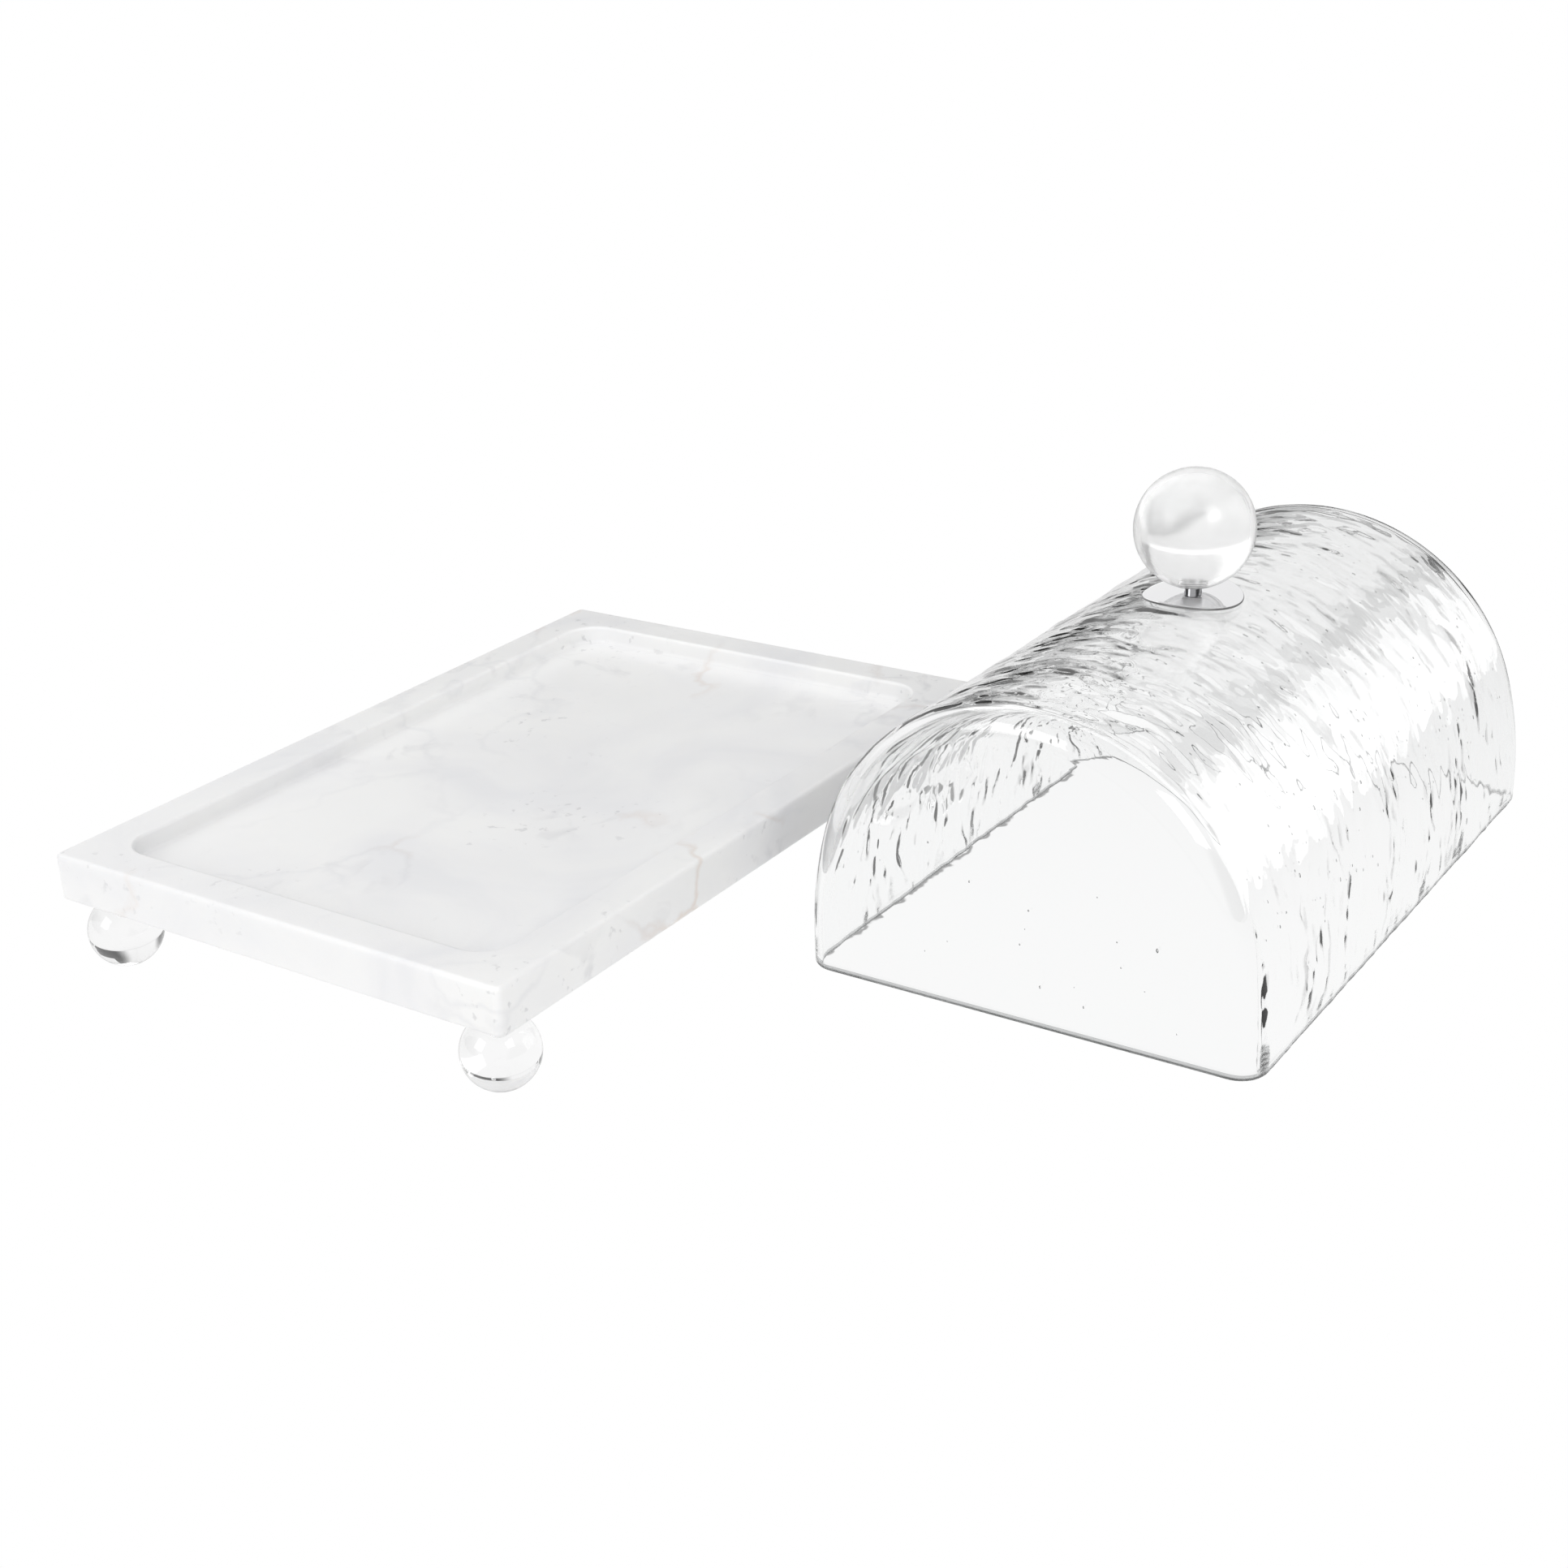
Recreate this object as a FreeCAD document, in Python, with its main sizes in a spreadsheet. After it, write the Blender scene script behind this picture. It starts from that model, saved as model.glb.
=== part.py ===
"""Cheese dome: a marble tray on four clear ball feet, and an arched glass cover with a ball knob.

Millimetres, +Z up. The origin lies on the floor, in the middle of the rectangle that the laid-out
set covers: the tray stands at -X and the cover stands on the floor beside it, at +X.
The tray's parts are drawn about the tray's middle, and the cover's parts about the cover's middle.
"""
import FreeCAD, Part
import math
import os

import Sketcher

doc = FreeCAD.newDocument("cheese_dome")
sheet = doc.addObject("Spreadsheet::Sheet", "Dimensions")
vector = FreeCAD.Vector

# Sizes that are set by themselves: name, value, what it is.
DRIVING = [
    # marble slab
    ("tray_width", 228, "slab across, X"),
    ("tray_length", 332, "slab along, Y"),
    ("slab_thickness", 20, "slab height"),
    ("rim_width", 18, "slab edge to recess wall"),
    ("recess_depth", 8, "rim to recess floor"),
    ("recess_rim_radius", 1.5, "round on the recess's upper edge"),
    ("slab_edge_radius", 2, "round on the slab's upper and lower edges"),
    ("slab_corner_radius", 3, "round on the slab's upright edges"),
    # ball feet
    ("foot_diameter", 30, "ball foot"),
    ("foot_margin", 1, "slab edge to the ball's side"),
    ("foot_washer_thickness", 1.5, "clear washer between ball and slab"),
    ("foot_washer_wall", 1.2, "clear washer, bore to edge"),
    ("foot_stud_diameter", 5, "threaded rod in the foot"),
    ("foot_stud_depth", 9, "rod's length inside the ball"),
    ("sleeve_wall", 1, "threaded sleeve's wall"),
    ("sleeve_roof", 3, "marble between sleeve and recess floor"),
    # glass cover
    ("seat_clearance", 2, "cover to recess wall, each side"),
    ("cover_height", 123, "floor to crest"),
    ("cover_wall", 4, "glass thickness"),
    ("cover_skirt", 12, "upright part of the side wall"),
    ("cover_side_turn", 16.8, "degrees that the side wall leans in before the crown's arc"),
    ("cover_edge_radius", 11.5, "round between end panel and barrel, and of the plan corners"),
    # knob and its fixing
    ("knob_diameter", 48, "ball knob"),
    ("knob_flat_margin", 0.2, "flat under the ball, past the insert's hole"),
    ("collar_height", 2, "neck between saddle and ball"),
    ("collar_wall", 0.7, "neck, bore to outside"),
    ("saddle_diameter", 40, "chrome saddle disc across"),
    ("saddle_thickness", 1, "chrome saddle disc"),
    ("gasket_margin", 3, "saddle's edge to gasket's edge"),
    ("gasket_thickness", 0.5, "both clear gaskets"),
    ("inner_washer_diameter", 20, "washer inside the cover"),
    ("inner_washer_thickness", 1, "washer inside the cover"),
    ("screw_diameter", 5, "knob screw's shank"),
    ("screw_head_diameter", 9.5, "knob screw's head"),
    ("screw_head_height", 3, "knob screw's head"),
    ("screw_socket_width", 3, "hexagon socket across flats"),
    ("screw_socket_depth", 1.6, "hexagon socket"),
    ("insert_length", 10, "threaded insert in the ball"),
    ("insert_wall", 1.2, "threaded insert's wall"),
    ("bush_wall", 1.15, "clear bush in the glass hole"),
    # fits
    ("thread_fit", 0.05, "radial gap in a threaded or glued fit"),
    ("pass_gap", 0.3, "radial gap round a screw that passes through"),
    ("end_gap", 0.2, "gap past a bush's or a rod's end"),
    # layout
    ("standing_gap", 27, "tray to cover, side by side"),
    ("cover_shift", 126, "cover's middle behind the tray's middle"),
]

# Sizes that follow from the ones above.
DERIVED = [
    ("foot_washer_bore", "foot_stud_diameter + 2 * pass_gap"),
    ("foot_washer_diameter", "foot_washer_bore + 2 * foot_washer_wall"),
    ("foot_flat_diameter", "foot_washer_diameter"),
    ("foot_inset", "foot_diameter / 2 + foot_margin"),
    ("sleeve_length", "slab_thickness - recess_depth - sleeve_roof"),
    ("foot_flat_drop", "sqrt(foot_diameter^2 - foot_flat_diameter^2) / 2"),
    ("foot_top", "foot_diameter / 2 + foot_flat_drop"),
    ("slab_bottom", "foot_top + foot_washer_thickness"),
    ("slab_top", "slab_bottom + slab_thickness"),
    ("recess_floor", "slab_top - recess_depth"),
    ("recess_width", "tray_width - 2 * rim_width"),
    ("recess_length", "tray_length - 2 * rim_width"),
    ("recess_corner_radius", "cover_edge_radius + 1.2 * seat_clearance"),
    ("recess_floor_radius", "0.9 * seat_clearance"),
    ("foot_x", "tray_width / 2 - foot_inset"),
    ("foot_y", "tray_length / 2 - foot_inset"),
    ("sleeve_bore", "foot_stud_diameter + 2 * thread_fit"),
    ("sleeve_diameter", "sleeve_bore + 2 * sleeve_wall"),
    ("sleeve_hole", "sleeve_diameter + 2 * thread_fit"),
    ("stud_length", "foot_stud_depth + foot_washer_thickness + sleeve_length - end_gap"),
    ("cover_width", "recess_width - 2 * seat_clearance"),
    ("cover_length", "recess_length - 2 * seat_clearance"),
    ("arch_rise", "cover_height - cover_skirt"),
    ("arch_excess",
     "(arch_rise - cover_width / 2) / (sin(cover_side_turn) + cos(cover_side_turn) - 1)"),
    ("cover_side_radius", "cover_width / 2 + arch_excess * cos(cover_side_turn)"),
    ("crown_radius", "cover_side_radius - arch_excess"),
    ("crown_centre", "cover_height - crown_radius"),
    ("inner_crown_radius", "crown_radius - cover_wall"),
    ("screw_hole", "screw_diameter + 2 * pass_gap"),
    ("bush_diameter", "screw_hole + 2 * bush_wall"),
    ("glass_hole_diameter", "bush_diameter + 2 * thread_fit"),
    ("gasket_diameter", "saddle_diameter - 2 * gasket_margin"),
    ("saddle_seat_radius", "crown_radius + gasket_thickness"),
    ("collar_diameter", "screw_hole + 2 * collar_wall"),
    ("collar_bottom", "cover_height + gasket_thickness + saddle_thickness"),
    ("knob_bottom", "collar_bottom + collar_height"),
    ("insert_bore", "screw_diameter + 2 * thread_fit"),
    ("insert_diameter", "insert_bore + 2 * insert_wall"),
    ("insert_hole", "insert_diameter + 2 * thread_fit"),
    ("knob_flat_diameter", "insert_hole + 2 * knob_flat_margin"),
    ("knob_flat_drop", "sqrt(knob_diameter^2 - knob_flat_diameter^2) / 2"),
    ("knob_centre", "knob_bottom + knob_flat_drop"),
    ("inner_gasket_radius", "inner_crown_radius - gasket_thickness"),
    ("inner_washer_radius", "inner_gasket_radius - inner_washer_thickness"),
    ("screw_seat",
     "crown_centre + sqrt(inner_washer_radius^2 - screw_head_diameter^2 / 4)"),
    ("screw_tip", "knob_bottom + insert_length - end_gap"),
    ("cover_offset", "tray_width / 2 + standing_gap + cover_width / 2"),
    ("tray_x", "-(cover_offset + cover_width / 2 - tray_width / 2) / 2"),
    ("tray_y", "-(cover_shift + cover_length / 2 - tray_length / 2) / 2"),
    ("cover_x", "tray_x + cover_offset"),
    ("cover_y", "tray_y + cover_shift"),
]

# Closeness, in millimetres, within which two places count as one.
TINY = 0.01

SUBPARTS = []


def fill_sheet():
    """Driving sizes as plain numbers, derived ones as formulas of their aliases."""
    row = 1
    for name, value, meaning in DRIVING:
        sheet.set(f"A{row}", meaning)
        sheet.set(f"B{row}", str(value))
        sheet.setAlias(f"B{row}", name)
        row += 1
    for name, formula in DERIVED:
        sheet.set(f"A{row}", name)
        sheet.set(f"B{row}", "=" + formula)
        sheet.setAlias(f"B{row}", name)
        row += 1
    doc.recompute()


def size(name):
    """Value of a named size, in millimetres."""
    return float(sheet.get(name))


def bind(thing, **expressions):
    """Tie properties to the sheet; a double underscore stands for a dot."""
    for key, expression in expressions.items():
        thing.setExpression(key.replace("__", "."), expression)


def D(name):
    """Reference to a size in the sheet."""
    return "Dimensions." + name


def subpart(thing, label, home):
    """Name a sub-part and stand it at the middle of the tray or of the cover."""
    thing.Label = label
    bind(thing, Placement__Base__x=D(home + "_x"), Placement__Base__y=D(home + "_y"))
    SUBPARTS.append(thing)
    return thing


# ---------------------------------------------------------------- sketches and features

def new_body(name):
    return doc.addObject("PartDesign::Body", name)


def new_sketch(body, name, role, height="0"):
    """Sketch on one of the body's own origin planes, raised by a height along its normal."""
    plane = next(item for item in body.Origin.OriginFeatures if item.Role == role)
    sketch = body.newObject("Sketcher::SketchObject", name)
    sketch.AttachmentSupport = [(plane, "")]
    sketch.MapMode = "FlatFace"
    bind(sketch, AttachmentOffset__Base__z=height)
    return sketch


def name_last(sketch, name, expression):
    """Name the newest constraint and tie it to an expression."""
    sketch.renameConstraint(sketch.ConstraintCount - 1, name)
    sketch.setExpression("Constraints." + name, expression)


def draw_rectangle(sketch, width, length):
    """Rectangle centred on the sketch's origin."""
    half_w, half_l = 50, 80
    corners = [vector(-half_w, -half_l), vector(half_w, -half_l),
               vector(half_w, half_l), vector(-half_w, half_l)]
    for i in range(4):
        sketch.addGeometry(Part.LineSegment(corners[i], corners[(i + 1) % 4]))
    for i in range(4):
        sketch.addConstraint(Sketcher.Constraint("Coincident", i, 2, (i + 1) % 4, 1))
        sketch.addConstraint(Sketcher.Constraint("Vertical" if i % 2 else "Horizontal", i))
    sketch.addConstraint(Sketcher.Constraint("Symmetric", 0, 1, 1, 2, -1, 1))
    sketch.addConstraint(Sketcher.Constraint("DistanceX", 0, 1, 0, 2, 2 * half_w))
    name_last(sketch, "width", width)
    sketch.addConstraint(Sketcher.Constraint("DistanceY", 1, 1, 1, 2, 2 * half_l))
    name_last(sketch, "length", length)


def draw_circle(sketch, name, diameter, x=0, y=0):
    """Circle of a bound diameter; x and y are (sign, expression) pairs, or 0 on the axis."""
    start = vector(100 * x[0] if x else 0, 150 * y[0] if y else 0)
    index = sketch.addGeometry(Part.Circle(start, vector(0, 0, 1), 3))
    sketch.addConstraint(Sketcher.Constraint("Diameter", index, 6))
    name_last(sketch, name, diameter)
    if not x:
        sketch.addConstraint(Sketcher.Constraint("Coincident", index, 3, -1, 1))
        return
    for kind, label, (sign, distance) in (("DistanceX", "x", x), ("DistanceY", "y", y)):
        sketch.addConstraint(Sketcher.Constraint(kind, -1, 1, index, 3, sign * 100))
        name_last(sketch, name + "_" + label, f"{sign} * {distance}")


def pad(body, sketch, length, midplane=False):
    feature = body.newObject("PartDesign::Pad", sketch.Name + "_pad")
    feature.Profile = sketch
    feature.Midplane = midplane
    bind(feature, Length=length)
    doc.recompute()
    return feature


def pocket(body, sketch, depth, upward=False):
    """Cut along the sketch's normal, downward unless said; it has to take material away."""
    before = body.Shape.Volume
    feature = body.newObject("PartDesign::Pocket", sketch.Name + "_pocket")
    feature.Profile = sketch
    feature.Reversed = upward
    bind(feature, Length=depth)
    doc.recompute()
    if body.Shape.Volume > before - TINY:
        raise RuntimeError(sketch.Name + " cut nothing")
    return feature


def fillet(body, name, radius, wanted):
    """Round every edge of the body's tip that the test picks."""
    tip = body.Tip
    names = [f"Edge{i + 1}" for i, edge in enumerate(tip.Shape.Edges) if wanted(edge)]
    feature = body.newObject("PartDesign::Fillet", name)
    feature.Base = (tip, names)
    bind(feature, Radius=radius)
    doc.recompute()
    return feature


def is_level(edge):
    return edge.BoundBox.ZLength < TINY


def upright_at(half_x, half_y):
    """Test for the four upright edges at the corners of a centred rectangle."""
    def wanted(edge):
        box = edge.BoundBox
        upright = not is_level(edge) and box.XLength < TINY and box.YLength < TINY
        return (upright and abs(abs(box.Center.x) - half_x) < TINY
                and abs(abs(box.Center.y) - half_y) < TINY)
    return wanted


def level_within(height, half_x, half_y):
    """Test for level edges at a height that lie inside a centred rectangle."""
    def wanted(edge):
        box = edge.BoundBox
        reach_x = max(box.XMax, -box.XMin)
        reach_y = max(box.YMax, -box.YMin)
        return (is_level(edge) and abs(box.ZMin - height) < TINY
                and reach_x < half_x + TINY and reach_y < half_y + TINY)
    return wanted


# ---------------------------------------------------------------- marble tray

def make_tray_slab():
    body = new_body("TraySlab")
    outline = new_sketch(body, "slab_outline", "XY_Plane", D("slab_bottom"))
    draw_rectangle(outline, D("tray_width"), D("tray_length"))
    pad(body, outline, D("slab_thickness"))
    fillet(body, "slab_corners", D("slab_corner_radius"),
           upright_at(size("tray_width") / 2, size("tray_length") / 2))
    fillet(body, "slab_edges", D("slab_edge_radius"), is_level)
    recess = new_sketch(body, "recess_outline", "XY_Plane", D("slab_top"))
    draw_rectangle(recess, D("recess_width"), D("recess_length"))
    pocket(body, recess, D("recess_depth"))
    half_x, half_y = size("recess_width") / 2, size("recess_length") / 2
    fillet(body, "recess_corners", D("recess_corner_radius"), upright_at(half_x, half_y))
    for name, radius, height in (("recess_floor_round", "recess_floor_radius", "recess_floor"),
                                 ("recess_rim_round", "recess_rim_radius", "slab_top")):
        fillet(body, name, D(radius), level_within(size(height), half_x, half_y))
    holes = new_sketch(body, "sleeve_holes", "XY_Plane", D("slab_bottom"))
    draw_corner_circles(holes, "hole", D("sleeve_hole"))
    pocket(body, holes, D("sleeve_length"), upward=True)
    return subpart(body, "tray_slab", "tray")


FOOT_CORNERS = [("front_left", -1, -1), ("front_right", 1, -1), ("back_left", -1, 1), ("back_right", 1, 1)]


def draw_corner_circles(sketch, name, diameter):
    """One circle over each foot."""
    for corner, sign_x, sign_y in FOOT_CORNERS:
        draw_circle(sketch, f"{name}_{corner}", diameter, (sign_x, D("foot_x")), (sign_y, D("foot_y")))


def make_at_corners(label, bottom, height, diameter, bore=None):
    """Four alike rods or rings, one over each foot."""
    body = new_body(label.title().replace("_", ""))
    sketch = new_sketch(body, label + "_outline", "XY_Plane", bottom)
    draw_corner_circles(sketch, "outer", diameter)
    if bore:
        draw_corner_circles(sketch, "bore", bore)
    pad(body, sketch, height)
    return subpart(body, label, "tray")


def make_ball(name, diameter, centre_height, low_angle, high_angle):
    """Ball, flattened where its latitude range stops short of a pole."""
    ball = doc.addObject("Part::Sphere", name)
    bind(ball, Radius=f"({diameter}) / 2", Angle1=low_angle, Angle2=high_angle,
         Placement__Base__z=centre_height)
    return ball


def make_rod(name, diameter, bottom, height):
    """Upright rod on the local Z axis."""
    rod = doc.addObject("Part::Cylinder", name)
    bind(rod, Radius=f"({diameter}) / 2", Height=height, Placement__Base__z=bottom)
    return rod


def cut(name, base, tool):
    feature = doc.addObject("Part::Cut", name)
    feature.Base = base
    feature.Tool = tool
    return feature


def make_foot_balls():
    for corner, sign_x, sign_y in FOOT_CORNERS:
        ball = make_ball("Foot_" + corner, D("foot_diameter"), D("foot_diameter") + " / 2",
                         "-90", f"acos({D('foot_flat_diameter')} / {D('foot_diameter')})")
        hole = make_rod("FootHole_" + corner, D("sleeve_bore"),
                        f"{D('foot_top')} - {D('foot_stud_depth')} - {D('end_gap')}", D("foot_diameter"))
        foot = cut("FootBall_" + corner, ball, hole)
        subpart(foot, "foot_ball_" + corner, "tray")
        bind(foot, Placement__Base__x=f"{D('tray_x')} + {sign_x} * {D('foot_x')}",
             Placement__Base__y=f"{D('tray_y')} + {sign_y} * {D('foot_y')}")


def make_tray():
    make_tray_slab()
    make_foot_balls()
    make_at_corners("foot_washers", D("foot_top"), D("foot_washer_thickness"),
                    D("foot_washer_diameter"), D("foot_washer_bore"))
    make_at_corners("foot_sleeves", D("slab_bottom"), D("sleeve_length"),
                    D("sleeve_diameter"), D("sleeve_bore"))
    make_at_corners("foot_studs", f"{D('foot_top')} - {D('foot_stud_depth')}", D("stud_length"),
                    D("foot_stud_diameter"))


# ---------------------------------------------------------------- glass cover

def draw_arch(sketch, width, height, skirt, side_radius, gap):
    """Upright skirts, side arcs and a crown arc, all tangent, closed by a level base.

    gap is how far the outline lies inside the cover's outer one; it places the first drawing.
    """
    half = size("cover_width") / 2 - gap
    top = size("cover_height") - gap
    low = size("cover_skirt")
    side = size("cover_side_radius") - gap
    crown = size("crown_radius") - gap
    turn = math.radians(size("cover_side_turn"))
    centre_x = half - side
    axis = vector(0, 0, 1)
    sketch.addGeometry(Part.LineSegment(vector(-half, 0), vector(half, 0)))
    sketch.addGeometry(Part.LineSegment(vector(half, 0), vector(half, low)))
    sketch.addGeometry(Part.ArcOfCircle(Part.Circle(vector(centre_x, low), axis, side), 0, turn))
    sketch.addGeometry(Part.ArcOfCircle(Part.Circle(vector(0, top - crown), axis, crown),
                                        turn, math.pi - turn))
    sketch.addGeometry(Part.ArcOfCircle(Part.Circle(vector(-centre_x, low), axis, side),
                                        math.pi - turn, math.pi))
    sketch.addGeometry(Part.LineSegment(vector(-half, low), vector(-half, 0)))
    crest = sketch.addGeometry(Part.Point(vector(0, top)))
    sketch.addConstraint([
        Sketcher.Constraint("Coincident", 0, 2, 1, 1),
        Sketcher.Constraint("Tangent", 1, 2, 2, 1),
        Sketcher.Constraint("Tangent", 2, 2, 3, 1),
        Sketcher.Constraint("Tangent", 3, 2, 4, 1),
        Sketcher.Constraint("Tangent", 4, 2, 5, 1),
        Sketcher.Constraint("Coincident", 5, 2, 0, 1),
        Sketcher.Constraint("Horizontal", 0),
        Sketcher.Constraint("Vertical", 1),
        Sketcher.Constraint("Vertical", 5),
        Sketcher.Constraint("Symmetric", 0, 1, 0, 2, -1, 1),
        Sketcher.Constraint("Equal", 2, 4),
        Sketcher.Constraint("Equal", 1, 5),
        Sketcher.Constraint("PointOnObject", crest, 1, 3),
        Sketcher.Constraint("PointOnObject", crest, 1, -2),
    ])
    for kind, ends, value, name, expression in (
            ("DistanceX", (0, 1, 0, 2), 2 * half, "width", width),
            ("DistanceY", (1, 1, 1, 2), low, "skirt", skirt),
            ("DistanceY", (-1, 1, crest, 1), top, "height", height),
            ("Radius", (2,), side, "side_radius", side_radius)):
        sketch.addConstraint(Sketcher.Constraint(kind, *ends, value))
        name_last(sketch, name, expression)


def make_arch_solid(name, inset):
    """Solid arch with rounded ends, smaller all round by an inset."""
    gap = size("cover_wall") if inset else 0
    less = f" - {D('cover_wall')}" if inset else ""
    twice = f" - 2 * {D('cover_wall')}" if inset else ""
    body = new_body(name)
    section = new_sketch(body, name + "_section", "XZ_Plane")
    draw_arch(section, D("cover_width") + twice, D("cover_height") + less, D("cover_skirt"),
              D("cover_side_radius") + less, gap)
    pad(body, section, D("cover_length") + twice, midplane=True)
    end = size("cover_length") / 2 - gap
    fillet(body, name + "_ends", D("cover_edge_radius") + less,
           lambda edge: (not is_level(edge) and edge.BoundBox.YLength < TINY
                         and abs(abs(edge.BoundBox.Center.y) - end) < TINY))
    return body


def make_cover_glass():
    shell = cut("CoverShell", make_arch_solid("CoverOutside", False), make_arch_solid("CoverInside", True))
    hole = make_rod("CrestHole", D("glass_hole_diameter"), D("crown_centre"), D("crown_radius"))
    return subpart(cut("CoverGlass", shell, hole), "cover_glass", "cover")


def make_curved_disc(label, inner_radius, thickness, diameter, bore):
    """Round disc bent to the crown's curve, with a hole in its middle."""
    shells = []
    for name, radius in (("Outer", f"{inner_radius} + {thickness}"), ("Inner", inner_radius)):
        barrel = doc.addObject("Part::Cylinder", label + name)
        barrel.Placement.Rotation = FreeCAD.Rotation(vector(1, 0, 0), -90)
        bind(barrel, Radius=radius, Height=diameter + " * 2", Placement__Base__y=f"-{diameter}",
             Placement__Base__z=D("crown_centre"))
        shells.append(barrel)
    round_edge = make_rod(label + "Edge", diameter, D("crown_centre"), D("cover_height"))
    middle = make_rod(label + "Bore", bore, D("crown_centre"), D("cover_height"))
    sheet_metal = cut(label + "Sheet", *shells)
    disc = doc.addObject("Part::Common", label + "Disc")
    disc.Base = sheet_metal
    disc.Tool = round_edge
    return subpart(cut(label + "Holed", disc, middle), label, "cover")


def make_ring(label, diameter, bore, bottom, height):
    """Upright sleeve on the knob's axis."""
    body = new_body(label.title().replace("_", ""))
    sketch = new_sketch(body, label + "_outline", "XY_Plane", bottom)
    draw_circle(sketch, "outer", diameter)
    draw_circle(sketch, "bore", bore)
    pad(body, sketch, height)
    return subpart(body, label, "cover")


def make_knob_ball():
    ball = make_ball("KnobSphere", D("knob_diameter"), D("knob_centre"),
                     f"-acos({D('knob_flat_diameter')} / {D('knob_diameter')})", "90")
    hole = make_rod("KnobHole", D("insert_hole"),
                    D("collar_bottom"), f"{D('collar_height')} + {D('insert_length')}")
    return subpart(cut("KnobBall", ball, hole), "knob_ball", "cover")


def make_knob_screw():
    """Pan-headed socket screw, head down inside the cover, shank up into the ball."""
    body = new_body("KnobScrew")
    head = new_sketch(body, "screw_head", "XY_Plane", f"{D('screw_seat')} - {D('screw_head_height')}")
    draw_circle(head, "across", D("screw_head_diameter"))
    pad(body, head, D("screw_head_height"))
    low = size("screw_seat") - size("screw_head_height")
    fillet(body, "screw_head_round", D("screw_head_height") + " / 3",
           lambda edge: abs(edge.BoundBox.ZMax - low) < TINY)
    shank = new_sketch(body, "screw_shank", "XY_Plane", D("screw_seat"))
    draw_circle(shank, "across", D("screw_diameter"))
    pad(body, shank, f"{D('screw_tip')} - {D('screw_seat')}")
    socket = new_sketch(body, "screw_socket", "XY_Plane", f"{D('screw_seat')} - {D('screw_head_height')}")
    draw_hexagon(socket, D("screw_socket_width"))
    pocket(body, socket, D("screw_socket_depth"), upward=True)
    return subpart(body, "knob_screw", "cover")


def draw_hexagon(sketch, across_flats):
    """Regular hexagon round the sketch's origin, its corners on a construction circle."""
    corners = [vector(2 * math.cos(math.radians(60 * i)), 2 * math.sin(math.radians(60 * i)))
               for i in range(6)]
    for i in range(6):
        sketch.addGeometry(Part.LineSegment(corners[i], corners[(i + 1) % 6]))
    circle = sketch.addGeometry(Part.Circle(vector(0, 0), vector(0, 0, 1), 2), True)
    sketch.addConstraint(Sketcher.Constraint("Coincident", circle, 3, -1, 1))
    for i in range(6):
        sketch.addConstraint(Sketcher.Constraint("Coincident", i, 2, (i + 1) % 6, 1))
        sketch.addConstraint(Sketcher.Constraint("PointOnObject", i, 1, circle))
        if i:
            sketch.addConstraint(Sketcher.Constraint("Equal", 0, i))
    sketch.addConstraint(Sketcher.Constraint("PointOnObject", 0, 1, -1))
    sketch.addConstraint(Sketcher.Constraint("Radius", circle, 2))
    name_last(sketch, "corner_radius", across_flats + " / sqrt(3)")


def make_cover():
    make_cover_glass()
    gasket, plate, washer = D("gasket_thickness"), D("saddle_thickness"), D("inner_washer_thickness")
    make_curved_disc("saddle_gasket", D("crown_radius"), gasket, D("gasket_diameter"), D("screw_hole"))
    make_curved_disc("saddle_plate", D("saddle_seat_radius"), plate, D("saddle_diameter"), D("screw_hole"))
    make_curved_disc("inner_gasket", D("inner_gasket_radius"), gasket,
                     D("inner_washer_diameter"), D("screw_hole"))
    make_curved_disc("inner_washer", D("inner_washer_radius"), washer,
                     D("inner_washer_diameter"), D("screw_hole"))
    make_ring("hole_bush", D("bush_diameter"), D("screw_hole"),
              f"{D('cover_height')} - {D('cover_wall')} + {D('end_gap')} / 2",
              f"{D('cover_wall')} - 2 * {D('end_gap')}")
    make_ring("knob_collar", D("collar_diameter"), D("screw_hole"), D("collar_bottom"), D("collar_height"))
    make_ring("knob_insert", D("insert_diameter"), D("insert_bore"), D("knob_bottom"), D("insert_length"))
    make_knob_ball()
    make_knob_screw()


# ---------------------------------------------------------------- build, check and write

def check_and_write():
    doc.recompute()
    for item in doc.Objects:
        if "Invalid" in item.State or "Error" in item.State:
            raise RuntimeError(f"{item.Name}: {item.State}")
    for item in SUBPARTS:
        if item.Shape.isNull() or not item.Shape.isValid():
            raise RuntimeError(item.Label + " has no valid shape")
    os.makedirs("parts", exist_ok=True)
    for item in SUBPARTS:
        item.Shape.exportStep(f"parts/{item.Label}.step")
        box = item.Shape.BoundBox
        print(f"{item.Label:24s} solids {len(item.Shape.Solids)}  volume {item.Shape.Volume:11.1f}  "
              f"z {box.ZMin:7.2f} to {box.ZMax:7.2f}")


fill_sheet()
make_tray()
make_cover()
check_and_write()
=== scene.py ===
"""Looks of the cheese dome: a marble tray on clear balls, beside its rippled glass cover.

Metres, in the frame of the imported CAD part. Pieces ride on the bodies "tray" and "cover".
"""
import math
import random

import bmesh
import bpy
import numpy as np
from mathutils import Matrix, Quaternion, Vector, noise


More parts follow.
